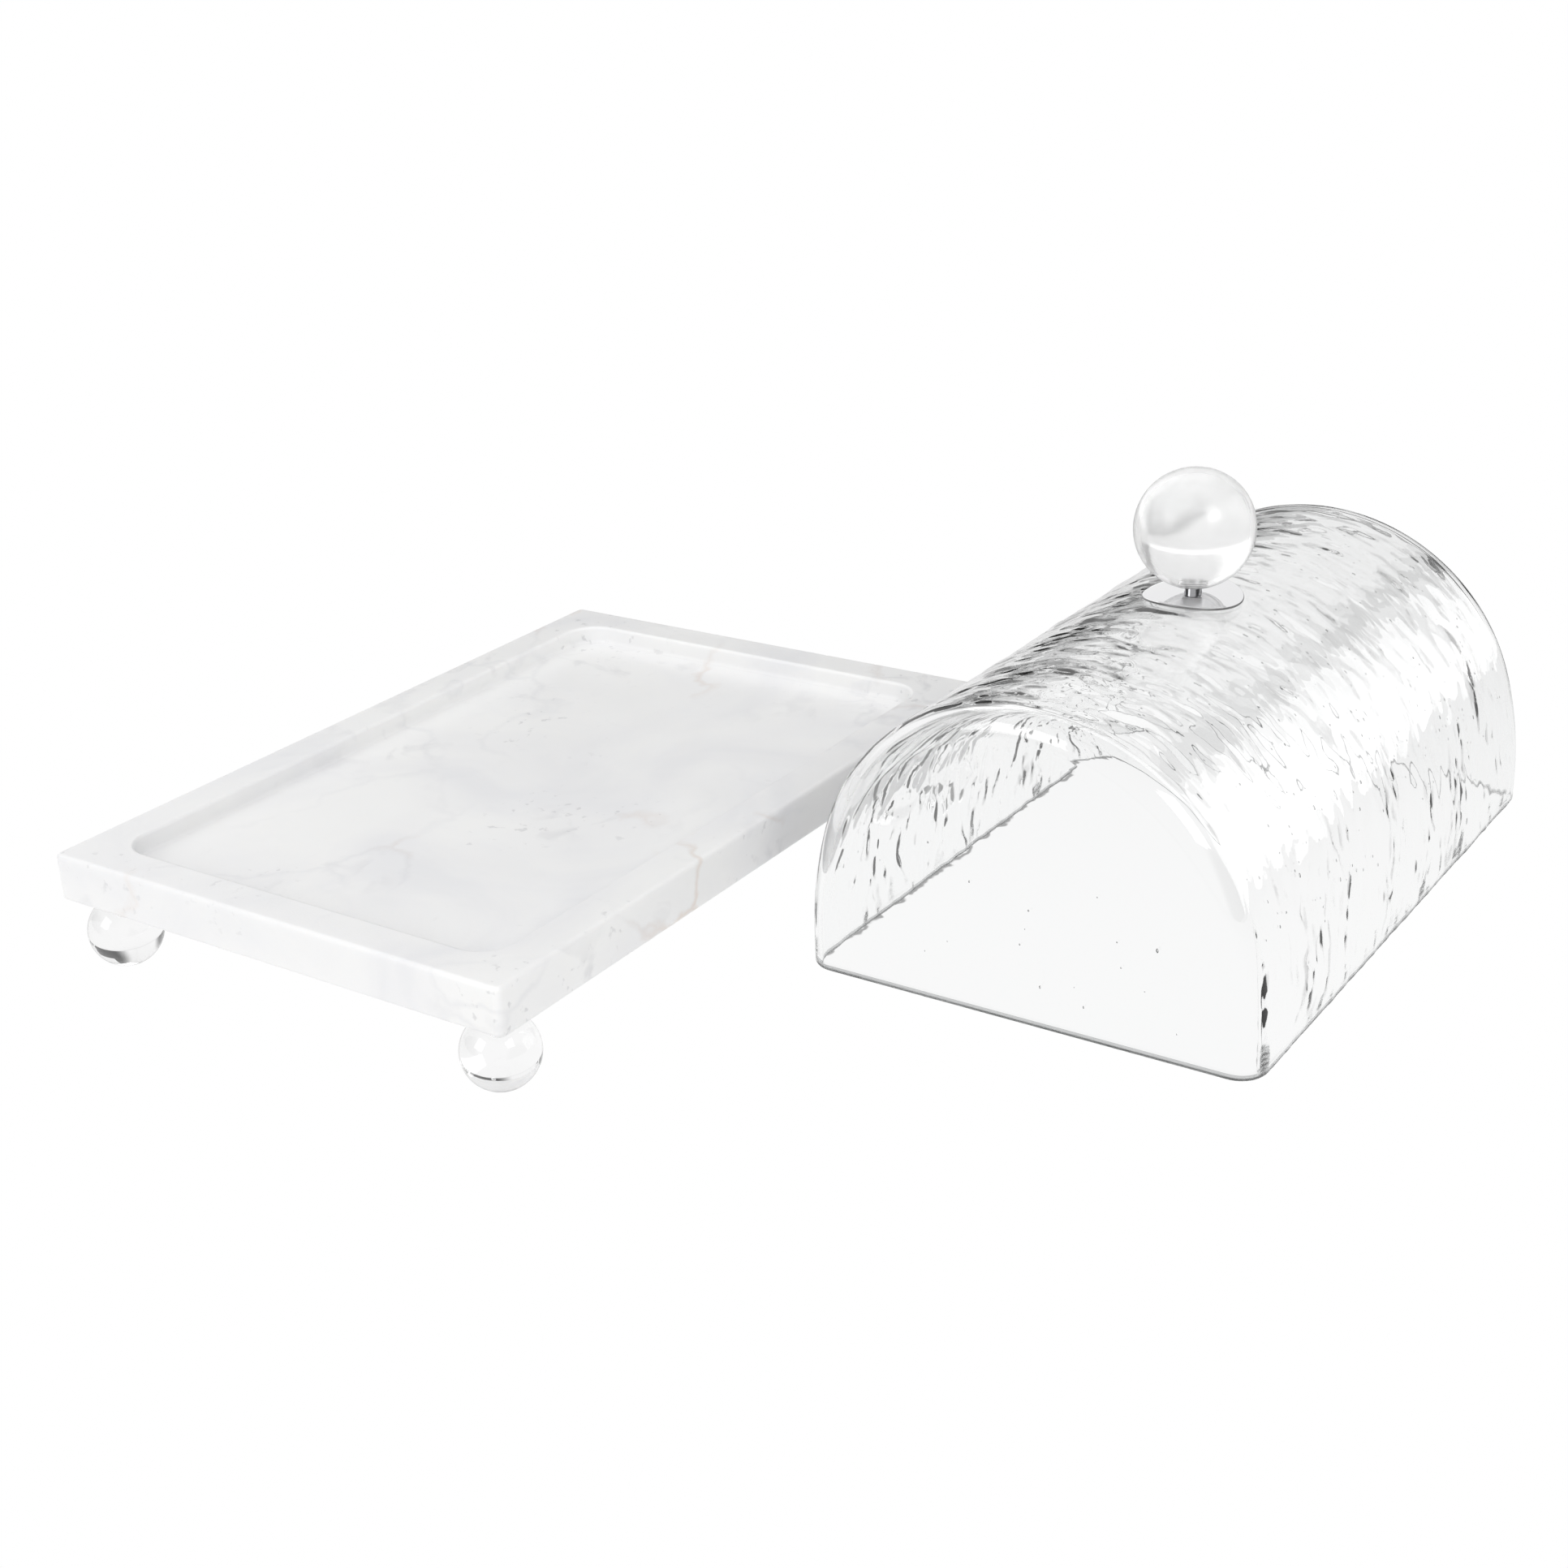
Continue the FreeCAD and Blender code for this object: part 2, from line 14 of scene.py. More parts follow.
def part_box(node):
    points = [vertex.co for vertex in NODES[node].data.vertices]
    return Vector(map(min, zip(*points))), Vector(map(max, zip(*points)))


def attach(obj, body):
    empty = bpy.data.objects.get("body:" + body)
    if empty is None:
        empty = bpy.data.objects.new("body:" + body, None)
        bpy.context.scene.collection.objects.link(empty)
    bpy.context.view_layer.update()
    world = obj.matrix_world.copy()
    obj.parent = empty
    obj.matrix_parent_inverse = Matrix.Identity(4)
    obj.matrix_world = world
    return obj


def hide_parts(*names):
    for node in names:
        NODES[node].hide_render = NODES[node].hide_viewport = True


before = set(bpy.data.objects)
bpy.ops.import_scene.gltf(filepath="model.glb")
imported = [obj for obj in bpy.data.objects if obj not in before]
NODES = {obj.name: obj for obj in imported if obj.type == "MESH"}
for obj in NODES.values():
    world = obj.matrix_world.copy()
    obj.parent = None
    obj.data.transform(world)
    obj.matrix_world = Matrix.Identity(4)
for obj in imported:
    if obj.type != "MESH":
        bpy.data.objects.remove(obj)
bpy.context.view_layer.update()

MM = 0.001


# ---------------------------------------------------------------- places and sizes

def middle_of(node):
    low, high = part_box(node)
    return (low + high) / 2


def size_of(node):
    low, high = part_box(node)
    return high - low


# glass cover
COVER_MIDDLE = middle_of("cover_glass")
COVER_SIZE = size_of("cover_glass")
KNOB_AXIS = Vector((COVER_MIDDLE.x, COVER_MIDDLE.y, 0))
WALL = 4 * MM
SKIRT = 12 * MM
SIDE_TURN = math.radians(16.8)
EDGE_RADIUS = 11.5 * MM
INNER_FOOT_RADIUS = 6.2 * MM
INNER_CROWN_RADIUS = 8.3 * MM
RIM_ROUND = 1.8 * MM
STATION_STEP = 2.2 * MM
ROW_STEP = 1.2 * MM

# outline of the arch: upright skirts, leaning sides and a round crown
HALF_WIDTH = COVER_SIZE.x / 2
HALF_LENGTH = COVER_SIZE.y / 2
ARCH_EXCESS = (COVER_SIZE.z - SKIRT - HALF_WIDTH) / (math.sin(SIDE_TURN) + math.cos(SIDE_TURN) - 1)
SIDE_RADIUS = HALF_WIDTH + ARCH_EXCESS * math.cos(SIDE_TURN)
CROWN_RADIUS = SIDE_RADIUS - ARCH_EXCESS
CROWN_CENTRE = COVER_SIZE.z - CROWN_RADIUS
ARCH_LENGTH = (2 * (SKIRT - RIM_ROUND) + 2 * SIDE_RADIUS * SIDE_TURN
               + CROWN_RADIUS * (math.pi - 2 * SIDE_TURN))

# ripples and bubbles of the glass; heights are of the broad swell, the marks and the fine grain
OUTER_RIPPLE = (0.50 * MM, 0.45 * MM, 0.15 * MM)
INNER_RIPPLE = (0.50 * MM, 0.20 * MM, 0.04 * MM)
PLAIN_END = 7 * MM
BARREL_BUBBLES = 450
PANEL_BUBBLES = 26
BUBBLE_COVER = 1.3  # least depth of a bubble's middle below either face, in millimetres

# knob, its fixing and the feet
GAP = 0.05 * MM
GASKET = 0.5 * MM
PLATE = 1 * MM
CREST_HOLE = size_of("hole_bush").x / 2 + GAP
SADDLE_RADIUS = size_of("saddle_plate").x / 2
SCREW_HOLE = size_of("knob_collar").x / 2 - 0.7 * MM
THREAD_DEPTH = 0.3 * MM
INSERT_PITCH = 1 * MM
INSERT_WALL = 1.2 * MM
INSERT_BITE = 0.1 * MM
FOOT_CORNERS = ("front_left", "front_right", "back_left", "back_right")
ROD_RADIUS = 2.5 * MM
ROD_PITCH = 0.8 * MM
ROD_END_GAP = 0.2 * MM

# studio: brightness of the floor in its pool of light and far away, and of the sky
POOL_LIGHT = 0.97
FAR_LIGHT = 0.84
SKY_LIGHT = 0.95

# dim parts of the sky: azimuth, elevation, core and edge in degrees, brightness of the core
DIM_PARTS = ((-10, 14, 27, 44, 0.1), (92, 0, 22, 38, 0.12), (-122, 0, 22, 38, 0.12))

# camera: the point it looks at, its distance, its lens in millimetres, and its turn
CAMERA_TARGET = Vector((0.0062, -0.0421, 0.060))
CAMERA_DISTANCE = 0.90824
CAMERA_LENS = 52.52
CAMERA_YAW = math.radians(-34.85)
CAMERA_PITCH = math.radians(23.19)
CAMERA_ROLL = math.radians(-2.62)


# ---------------------------------------------------------------- mesh helpers

def face_outward(mesh):
    """Turns the faces of a closed mesh so that they look out of it."""
    work = bmesh.new()
    work.from_mesh(mesh)
    bmesh.ops.remove_doubles(work, verts=work.verts, dist=1e-7)
    bmesh.ops.recalc_face_normals(work, faces=work.faces)
    work.to_mesh(mesh)
    work.free()


def add_cavities(mesh, places):
    """Adds closed bubbles, whose faces look into the bubble, at these matrices."""
    work = bmesh.new()
    bmesh.ops.create_uvsphere(work, u_segments=10, v_segments=6, radius=1)
    bmesh.ops.reverse_faces(work, faces=work.faces)
    points = [v.co.copy() for v in work.verts]
    loops = [[v.index for v in face.verts] for face in work.faces]
    work.free()
    vertices = [place @ point for place in places for point in points]
    faces = [[i + len(points) * n for i in loop] for n in range(len(places)) for loop in loops]
    bubbles = bpy.data.meshes.new("bubbles")
    bubbles.from_pydata(vertices, [], faces)
    work = bmesh.new()
    work.from_mesh(mesh)
    work.from_mesh(bubbles)
    work.to_mesh(mesh)
    work.free()
    bpy.data.meshes.remove(bubbles)


def add_object(name, vertices, faces, material, body, replaced=(), sharp_angle=35, bubbles=()):
    """Smooth-shaded mesh object that rides on a body and stands for CAD nodes."""
    mesh = bpy.data.meshes.new(name)
    mesh.from_pydata([tuple(v) for v in vertices], [], faces)
    face_outward(mesh)
    if bubbles:
        add_cavities(mesh, bubbles)
    mesh.shade_smooth()
    mesh.set_sharp_from_angle(angle=math.radians(sharp_angle))
    mesh.materials.append(material)
    piece = bpy.data.objects.new(name, mesh)
    bpy.context.scene.collection.objects.link(piece)
    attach(piece, body)
    if replaced:
        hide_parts(*replaced)
    return piece


def add_second_material(piece, material, chosen):
    """Gives another material to the faces whose middle is chosen."""
    piece.data.materials.append(material)
    for face in piece.data.polygons:
        if chosen(face.center):
            face.material_index = 1


def strip_faces(rows, first, columns, closed):
    """Quads between neighbouring rows of a grid of vertices."""
    faces = []
    last = columns if closed else columns - 1
    for row in range(rows - 1):
        low = first + row * columns
        high = low + columns
        for column in range(last):
            right = (column + 1) % columns
            faces.append((low + column, low + right, high + right, high + column))
    return faces


def lathe(profile, centre, segments=96):
    """Vertices and faces of a closed outline of (radius, height) turned about an upright axis."""
    vertices = []
    for step in range(segments):
        turn = math.tau * step / segments
        for radius, height in profile:
            vertices.append((centre.x + radius * math.cos(turn),
                             centre.y + radius * math.sin(turn), height))
    count = len(profile)
    faces = []
    for step in range(segments):
        here = step * count
        there = (step + 1) % segments * count
        for i in range(count - 1):
            faces.append((here + i, there + i, there + i + 1, here + i + 1))
    return vertices, faces


def arc(radius, height, start, stop, steps):
    """Outline points on a circle round the axis, by latitude in degrees."""
    points = []
    for step in range(steps + 1):
        latitude = math.radians(start + (stop - start) * step / steps)
        points.append((radius * math.cos(latitude), height + radius * math.sin(latitude)))
    return points


# ---------------------------------------------------------------- materials

def node_adder(tree):
    """Function that adds a node to this tree, with its settings and with its inputs set or linked."""
    def add(kind, inputs=(), **settings):
        node = tree.nodes.new(kind)
        for key, value in settings.items():
            setattr(node, key, value)
        for key, value in dict(inputs).items():
            if isinstance(value, bpy.types.NodeSocket):
                tree.links.new(value, node.inputs[key])
            else:
                node.inputs[key].default_value = value
        return node

    return add


def new_material(name):
    """Material with its Principled shader, a function that adds nodes, and its links."""
    material = bpy.data.materials.new(name)
    material.use_nodes = True
    tree = material.node_tree
    shader = next(n for n in tree.nodes if n.type == "BSDF_PRINCIPLED")
    return material, shader, node_adder(tree), tree.links


def glass_material(name, tint, ior, wave, haze, shaded_outline_from=0.86, clear=1.0, clouded_from=None):
    """Clear glass or acrylic, faintly uneven, with painted shade darkening its outline, and softer above
    a given height.
    """
    material, shader, add, links = new_material(name)
    shader.inputs["IOR"].default_value = ior
    shader.inputs["Transmission Weight"].default_value = clear
    # painted shade: the base colour turns dark grey where the surface is seen edge-on, standing in for
    # dark surroundings seen through the glass edges
    facing = add("ShaderNodeLayerWeight", {"Blend": 0.5}).outputs["Facing"]
    rim = add("ShaderNodeMapRange", {"Value": facing, "From Min": shaded_outline_from, "From Max": 1.0})
    colour = add("ShaderNodeMix", {0: rim.outputs[0], 6: (*tint, 1), 7: (0.1, 0.1, 0.1, 1)},
                 data_type="RGBA")
    links.new(colour.outputs[2], shader.inputs["Base Color"])
    place = add("ShaderNodeTexCoord").outputs["Object"]
    waves = add("ShaderNodeTexNoise", {"Vector": place, "Scale": 110.0, "Detail": 1.0})
    bump = add("ShaderNodeBump", {"Height": waves.outputs[0], "Strength": 1.0, "Distance": wave})
    links.new(bump.outputs[0], shader.inputs["Normal"])
    film = add("ShaderNodeTexNoise", {"Vector": place, "Scale": 35.0, "Detail": 3.0})
    polish = add("ShaderNodeMapRange", {"Value": film.outputs[0], "To Min": haze * 0.6,
                                        "To Max": haze * 1.4})
    roughness = polish.outputs[0]
    if clouded_from is not None:
        height = add("ShaderNodeSeparateXYZ", {"Vector": place}).outputs["Z"]
        rise = add("ShaderNodeMapRange", {"Value": height, "From Min": clouded_from,
                                          "From Max": clouded_from + 9 * MM, "To Max": 0.17})
        roughness = add("ShaderNodeMath", {0: roughness, 1: rise.outputs[0]}).outputs[0]
    links.new(roughness, shader.inputs["Roughness"])
    return material


def metal_material(name, colour, roughness):
    material, shader, add, links = new_material(name)
    shader.inputs["Base Color"].default_value = (*colour, 1)
    shader.inputs["Metallic"].default_value = 1
    place = add("ShaderNodeTexCoord")
    smears = add("ShaderNodeTexNoise", {"Vector": place.outputs["Object"], "Scale": 180.0, "Detail": 4.0})
    spread = add("ShaderNodeMapRange", {"Value": smears.outputs[0], "To Min": roughness * 0.6,
                                        "To Max": roughness * 1.4})
    links.new(spread.outputs[0], shader.inputs["Roughness"])
    return material


def marble_material():
    """White marble: cool clouds, small grey smudges and specks, and thin grey and tan veins."""
    material, shader, add, links = new_material("white_marble")
    place = add("ShaderNodeTexCoord").outputs["Object"]

    def patches(scale, low, high, detail=3.0, distortion=0.0, vector=place):
        """Noise cut to 0 below one level and 1 above another."""
        field = add("ShaderNodeTexNoise", {"Vector": vector, "Scale": scale, "Detail": detail,
                                           "Distortion": distortion})
        level = add("ShaderNodeMapRange", {"Value": field.outputs[0], "From Min": low, "From Max": high})
        return level.outputs[0]

    def times(a, b):
        return add("ShaderNodeMath", {0: a, 1: b}, operation="MULTIPLY").outputs[0]

    def over(base, amount, colour):
        mixed = add("ShaderNodeMix", {0: amount, 6: base}, data_type="RGBA")
        mixed.inputs[7].default_value = (*colour, 1)
        return mixed.outputs[2]

    clouds = add("ShaderNodeValToRGB", {"Fac": patches(11.0, 0.32, 0.62, 9.0, 1.2)})
    clouds.color_ramp.elements[0].color = (0.835, 0.837, 0.85, 1)
    clouds.color_ramp.elements[1].color = (0.905, 0.905, 0.90, 1)
    clouds.color_ramp.elements.new(0.45).color = (0.875, 0.875, 0.879, 1)

    drift = add("ShaderNodeTexNoise", {"Vector": place, "Scale": 14.0, "Detail": 5.0})
    shifted = add("ShaderNodeMix", {0: 0.12, 4: place, 5: drift.outputs["Color"]}, data_type="VECTOR")
    cracks = add("ShaderNodeTexVoronoi", {"Vector": shifted.outputs[1], "Scale": 9.0},
                 feature="DISTANCE_TO_EDGE")
    line = add("ShaderNodeMapRange", {"Value": cracks.outputs["Distance"], "From Min": 0.0,
                                      "From Max": 0.03, "To Min": 1.0, "To Max": 0.0})
    veins = times(line.outputs[0], patches(6.5, 0.52, 0.60))
    threads = times(line.outputs[0], patches(11.0, 0.42, 0.56))

    smudges = times(patches(55.0, 0.56, 0.70, 5.0, 0.8), patches(10.0, 0.48, 0.62))
    specks = times(patches(240.0, 0.64, 0.71, 2.0), patches(16.0, 0.52, 0.62))
    colour = over(clouds.outputs[0], times(smudges, 0.30), (0.45, 0.45, 0.48))
    colour = over(colour, times(specks, 0.30), (0.36, 0.36, 0.38))
    colour = over(colour, times(threads, 0.14), (0.50, 0.51, 0.56))
    colour = over(colour, times(veins, 0.32), (0.72, 0.54, 0.40))
    links.new(colour, shader.inputs["Base Color"])

    gloss = add("ShaderNodeMapRange", {"Value": patches(30.0, 0.3, 0.7, 6.0), "To Min": 0.30,
                                       "To Max": 0.42})
    links.new(gloss.outputs[0], shader.inputs["Roughness"])
    grain = add("ShaderNodeTexNoise", {"Vector": place, "Scale": 900.0, "Detail": 3.0})
    bump = add("ShaderNodeBump", {"Height": grain.outputs[0], "Strength": 0.25, "Distance": 0.15 * MM})
    links.new(bump.outputs[0], shader.inputs["Normal"])
    shader.inputs["Subsurface Weight"].default_value = 0.2
    shader.inputs["Subsurface Radius"].default_value = (1, 0.95, 0.9)
    shader.inputs["Subsurface Scale"].default_value = 3 * MM
    return material


MARBLE = marble_material()
RIPPLED_GLASS = glass_material("rippled_glass", (0.972, 0.975, 0.975), 1.58, 0.02 * MM, 0.004)
# rough ground glass for the foot of the cover; its dark grey tint is painted shade where the glass stands
GROUND_GLASS_PAINTED_SHADE = glass_material("ground_glass_rim_painted_shade", (0.35, 0.36, 0.36), 1.58, 0.05 * MM, 0.35)
CLEAR_BALL = glass_material("clear_acrylic", (0.97, 0.97, 0.97), 1.49, 0.004 * MM, 0.01, 0.7)
CLEAR_KNOB = glass_material("clear_knob", (0.99, 0.99, 0.99), 1.49, 0.004 * MM, 0.01, 0.7, 0.72,
                            middle_of("knob_ball").z - 17 * MM)
CLEAR_SOFT = glass_material("clear_silicone", (0.95, 0.96, 0.96), 1.41, 0.02 * MM, 0.1)
CHROME = metal_material("polished_chrome", (0.86, 0.86, 0.87), 0.03)
# chrome darkened to 0.4 as painted shade: a shaded copy of the polished chrome for the washer under the
# glass and the knob's collar
DULL_CHROME_PAINTED_SHADE = metal_material("dull_chrome_painted_shade", (0.4, 0.4, 0.41), 0.12)
STEEL = metal_material("zinc_plated_steel", (0.72, 0.72, 0.73), 0.3)
PALE_METAL = metal_material("pale_nickel", (0.68, 0.68, 0.68), 0.3)
# near-black metal for the saddle's edge: painted shade of the gap between the saddle and the glass
SADDLE_EDGE_PAINTED_SHADE = metal_material("saddle_edge_painted_shade", (0.22, 0.22, 0.22), 0.35)
BRASS = metal_material("turned_brass", (0.78, 0.63, 0.32), 0.28)


# ---------------------------------------------------------------- glass cover

def arch_stations(step):
    """Stations along the arch from its right foot to its left: (kind, value)."""
    skirt = [("right", z) for z in np.linspace(RIM_ROUND, SKIRT, 7)[:-1]]
    side_steps = round(SIDE_RADIUS * SIDE_TURN / step)
    side = [("right side", t) for t in np.linspace(0, SIDE_TURN, side_steps, endpoint=False)]
    crown_steps = round(CROWN_RADIUS * (math.pi - 2 * SIDE_TURN) / step / 2) * 2
    crown = [("crown", t)
             for t in np.linspace(SIDE_TURN, math.pi - SIDE_TURN, crown_steps, endpoint=False)]
    far_side = [("left side", t) for t in np.linspace(SIDE_TURN, 0, side_steps, endpoint=False)]
    far_skirt = [("left", z) for z in np.linspace(SKIRT, RIM_ROUND, 7)]
    return skirt + side + crown + far_side + far_skirt


def arch_point(station, inset):
    """Point (x, z) of the arch's outline moved in by an inset, and the outline's outward direction."""
    kind, value = station
    if kind in ("right", "left"):
        sign = 1 if kind == "right" else -1
        return (sign * (HALF_WIDTH - inset), value), (sign, 0)
    if kind == "crown":
        radius = max(CROWN_RADIUS - inset, 0)
        return ((radius * math.cos(value), CROWN_CENTRE + radius * math.sin(value)),
                (math.cos(value), math.sin(value)))
    sign = 1 if kind == "right side" else -1
    radius = SIDE_RADIUS - inset
    across = sign * (HALF_WIDTH - SIDE_RADIUS + radius * math.cos(value))
    return (across, SKIRT + radius * math.sin(value)), (sign * math.cos(value), math.sin(value))


def shell_rows(wall, edge):
    """Rows from one end panel's middle over the barrel to the other's: (inset, y, tilt).

    tilt is 0 on a panel, 90 degrees on the barrel, and in between on the round that joins them.
    """
    half = HALF_LENGTH - wall
    panel = [(inset, -half, 0.0)
             for inset in np.linspace(CROWN_RADIUS - 2 * MM, wall + edge, 26, endpoint=False)]
    turns = np.linspace(0, math.pi / 2, 14, endpoint=False)
    corner = [(wall + edge * (1 - math.sin(t)), -half + edge * (1 - math.cos(t)), t) for t in turns]
    barrel_half = half - edge
    count = round(2 * (HALF_LENGTH - EDGE_RADIUS) / ROW_STEP)
    barrel = [(wall, y, math.pi / 2) for y in np.linspace(-barrel_half, barrel_half, count + 1)]
    far_ends = [(inset, -y, tilt) for inset, y, tilt in reversed(panel + corner)]
    return panel + corner + barrel + far_ends


def ease(value):
    """0 below 0, 1 above 1, smooth in between."""
    value = min(max(value, 0.0), 1.0)
    return value * value * (3 - 2 * value)


def ripple(across, along, y, heights, seed):
    """Height of the hammered surface: its marks are long across the barrel and short along it.

    The glass is plain at its ends and under the saddle, and more deeply marked on its left side.
    """
    from_end = HALF_LENGTH - abs(y)
    broad = noise.noise(Vector((along / (45 * MM), y / (30 * MM), seed)))
    bend = 7 * MM * noise.noise(Vector((along / (24 * MM), y / (24 * MM), seed + 7)))
    marks = noise.noise(Vector((along / (13 * MM), (y + bend) / (8 * MM), seed + 3)))
    fine = noise.noise(Vector((along / (6 * MM), (y + bend) / (3.8 * MM), seed + 11)))
    depth = 1 + 0.7 * ease((-across - 0.4 * HALF_WIDTH) / (0.5 * HALF_WIDTH))
    depth *= ease((from_end - PLAIN_END) / (12 * MM))
    depth *= ease((math.hypot(along - ARCH_LENGTH / 2, y) - SADDLE_RADIUS) / (10 * MM))
    swell = heights[0] * broad * ease(from_end / (45 * MM))
    return depth * (swell + heights[1] * marks + heights[2] * fine)


def shell_surface(stations, foot_rows, crown_rows, heights, seed):
    """Grid of vertices for one face of the glass, in the cover's own frame.

    The rows blend from those at the foot of the arch to those higher up.
    """
    lengths = [0.0]
    blends = []
    for a, b in zip(stations, stations[1:]):
        (ax, az), _ = arch_point(a, 0)
        (bx, bz), _ = arch_point(b, 0)
        lengths.append(lengths[-1] + math.hypot(bx - ax, bz - az))
    for station in stations:
        height = arch_point(station, 0)[0][1]
        blends.append(ease((height - 2 * SKIRT) / (3 * SKIRT)))
    vertices = []
    for (foot_inset, foot_y, tilt), (crown_inset, crown_y, _) in zip(foot_rows, crown_rows):
        for station, along, blend in zip(stations, lengths, blends):
            y = foot_y + (crown_y - foot_y) * blend
            (x, z), (nx, nz) = arch_point(station, foot_inset + (crown_inset - foot_inset) * blend)
            lift = ripple(x, along, y, heights, seed) if tilt > 0 else 0.0
            vertices.append((x + nx * lift, y, z + nz * lift))
    return vertices


def close_panels(rows, columns):
    """Faces that close the slit in the middle of each end panel."""
    faces = []
    for first in (0, (rows - 1) * columns):
        for i in range(columns // 2 - 1):
            a, b = first + i, first + columns - 1 - i
            quad = (a, b, b - 1, a + 1)
            faces.append(quad if b - 1 > a + 1 else (a, b, a + 1))
    return faces


def bore_crest(vertices, outside, count):
    """Opens the crest for the knob's screw: drops the faces there and rings the hole on both faces."""
    near = set()
    for i in range(count):
        x, y, z = vertices[i]
        if z > CROWN_CENTRE and math.hypot(x, y) < CREST_HOLE + 0.6 * MM:
            near.add(i)
    kept = [face for face in outside if near.isdisjoint(face)]
    times_used = {}
    for face in kept:
        for a, b in zip(face, face[1:] + face[:1]):
            key = (min(a, b), max(a, b))
            times_used[key] = times_used.get(key, 0) + 1
    ring = []
    for (a, b), used in times_used.items():
        x, y, z = vertices[a]
        if used == 1 and z > CROWN_CENTRE and math.hypot(x, y) < CREST_HOLE + 6 * MM:
            ring.append((a, b))
    for i in {i for edge in ring for i in edge}:
        for place in (i, i + count):
            x, y, z = vertices[place]
            reach = CREST_HOLE / math.hypot(x, y)
            vertices[place] = (x * reach, y * reach, z)
    wall = [(a, b, b + count, a + count) for a, b in ring]
    return kept, wall


def rim_faces(vertices, rows, columns):
    """Rounded lower edge between the two faces of the glass; adds its vertices."""
    count = rows * columns
    loop = [row * columns for row in range(rows)]
    loop += [row * columns + columns - 1 for row in reversed(range(rows))]
    faces = []
    previous = loop
    steps = 10
    for step in range(1, steps + 1):
        if step == steps:
            current = [i + count for i in loop]
        else:
            turn = math.pi * step / steps
            current = list(range(len(vertices), len(vertices) + len(loop)))
            for i in loop:
                point = Vector(vertices[i]).lerp(Vector(vertices[i + count]), (1 - math.cos(turn)) / 2)
                point.z = RIM_ROUND * (1 - math.sin(turn))
                vertices.append(tuple(point))
        for i in range(len(loop)):
            j = (i + 1) % len(loop)
            faces.append((previous[i], current[i], current[j], previous[j]))
        previous = current
    return faces


def seed_bubbles():
    """Places of the small bubbles in the glass: most in the barrel, a few in the end panels."""
    chance = random.Random(4)
    places = []
    for _ in range(BARREL_BUBBLES):
        turn = chance.uniform(0.02, math.pi - 0.02)
        y = chance.uniform(-1, 1) * (HALF_LENGTH - EDGE_RADIUS - 4 * MM)
        depth = chance.uniform(BUBBLE_COVER, WALL / MM - BUBBLE_COVER) * MM
        radius = CROWN_RADIUS - depth
        point = Vector((radius * math.cos(turn), y, CROWN_CENTRE + radius * math.sin(turn)))
        if math.hypot(point.x, point.y) > SADDLE_RADIUS:
            places.append(bubble_matrix(chance, point, Matrix.Rotation(-turn, 4, "Y")))
    for _ in range(PANEL_BUBBLES):
        turn = chance.uniform(0.1, math.pi - 0.1)
        reach = CROWN_RADIUS * math.sqrt(chance.uniform(0, 0.8))
        side = chance.choice((-1, 1))
        y = side * (HALF_LENGTH - chance.uniform(BUBBLE_COVER, WALL / MM - BUBBLE_COVER) * MM)
        height = 6 * MM + (CROWN_CENTRE + reach) * chance.random() ** 0.7 * math.sin(turn)
        places.append(bubble_matrix(chance, Vector((reach * math.cos(turn), y, height)), Matrix()))
    return places


def bubble_matrix(chance, point, turned):
    size = chance.uniform(0.18, 0.36) * MM * (1.5 if chance.random() < 0.2 else 1.0)
    stretch = chance.uniform(1.0, 2.2)
    return (Matrix.Translation(KNOB_AXIS + point) @ turned
            @ Matrix.Diagonal((size, size, size * stretch, 1)))


def make_cover_glass():
    stations = arch_stations(STATION_STEP)
    columns = len(stations)
    outer = shell_rows(0, EDGE_RADIUS)
    inner_foot = shell_rows(WALL, INNER_FOOT_RADIUS)
    inner_crown = shell_rows(WALL, INNER_CROWN_RADIUS)
    rows = len(outer)
    count = rows * columns
    vertices = shell_surface(stations, outer, outer, OUTER_RIPPLE, 1)
    vertices += shell_surface(stations, inner_foot, inner_crown, INNER_RIPPLE, 40)
    outside = strip_faces(rows, 0, columns, False) + close_panels(rows, columns)
    outside, hole_wall = bore_crest(vertices, outside, count)
    inside = [tuple(i + count for i in reversed(face)) for face in outside]
    faces = outside + inside + hole_wall + rim_faces(vertices, rows, columns)
    placed = [Vector(v) + KNOB_AXIS for v in vertices]
    cover = add_object("rippled_cover", placed, faces, RIPPLED_GLASS, "cover", ["cover_glass"],
                       sharp_angle=60, bubbles=seed_bubbles())
    # the lowest faces of the rim get the rough ground glass, tinted dark as painted shade
    add_second_material(cover, GROUND_GLASS_PAINTED_SHADE, lambda middle: middle.z < 0.9 * RIM_ROUND)
    return cover


# ---------------------------------------------------------------- knob fixing

def bent_disc(node, name, low, high, material):
    """Round disc with the screw's hole and a rounded edge, bent to the crown of the arch.

    low and high are the heights of its faces above the outside of the glass.
    """
    radius = size_of(node).x / 2
    edge = (high - low) / 2
    outline = [(reach, low) for reach in np.linspace(SCREW_HOLE, radius - edge, 14)]
    outline += [(radius - edge + edge * math.sin(t), (low + high) / 2 - edge * math.cos(t))
                for t in np.linspace(0, math.pi, 7)[1:-1]]
    outline += [(reach, high) for reach in np.linspace(radius - edge, SCREW_HOLE, 14)]
    outline.append(outline[0])
    vertices, faces = lathe(outline, Vector((0, 0, 0)), 128)
    placed = []
    for x, y, lift in vertices:
        height = CROWN_CENTRE + math.sqrt((CROWN_RADIUS + lift) ** 2 - x * x)
        placed.append(KNOB_AXIS + Vector((x, y, height)))
    disc = add_object(name, placed, faces, material, "cover", [node])
    return disc


def on_saddle_edge(point):
    return (point.xy - KNOB_AXIS.xy).length > SADDLE_RADIUS - 0.35 * PLATE


